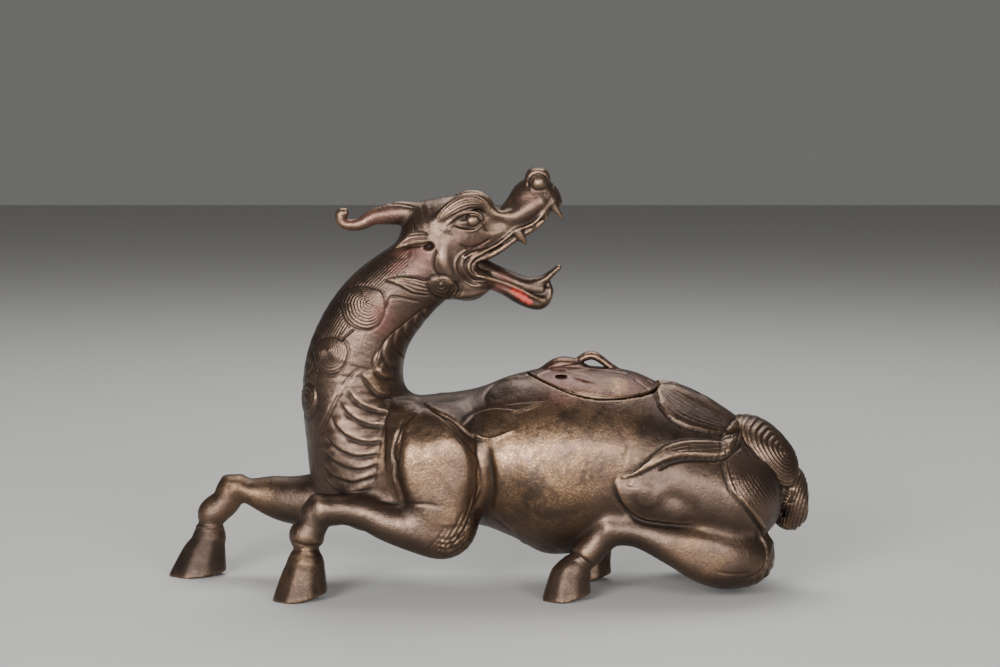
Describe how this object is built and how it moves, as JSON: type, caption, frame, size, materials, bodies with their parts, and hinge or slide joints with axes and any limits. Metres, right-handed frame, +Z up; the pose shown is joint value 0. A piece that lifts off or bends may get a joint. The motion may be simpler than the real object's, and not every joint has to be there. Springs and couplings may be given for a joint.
{
  "type": "qilin vessel",
  "caption": "Recumbent bronze qilin looking back over its own body, hollow inside, with a leaf-shaped lift-off lid and loop handle on its back.",
  "frame": {"origin": "on the ground under the middle of the figure", "axes": "+Z up, +X from the chest to the tail, which is also the way the turned head looks, -Y the side with the throat band"},
  "size_m": [0.2536, 0.0768, 0.1651],
  "materials": {
    "bronze": "dark brown patinated bronze, semi-gloss, with worn gold specks on the high places and traces of red lacquer",
    "lid_bronze": "reddish brown patinated bronze with traces of lacquer"
  },
  "bodies": {
    "root": {"qilin": "bronze", "lid": "lid_bronze"}
  },
  "joints": []
}
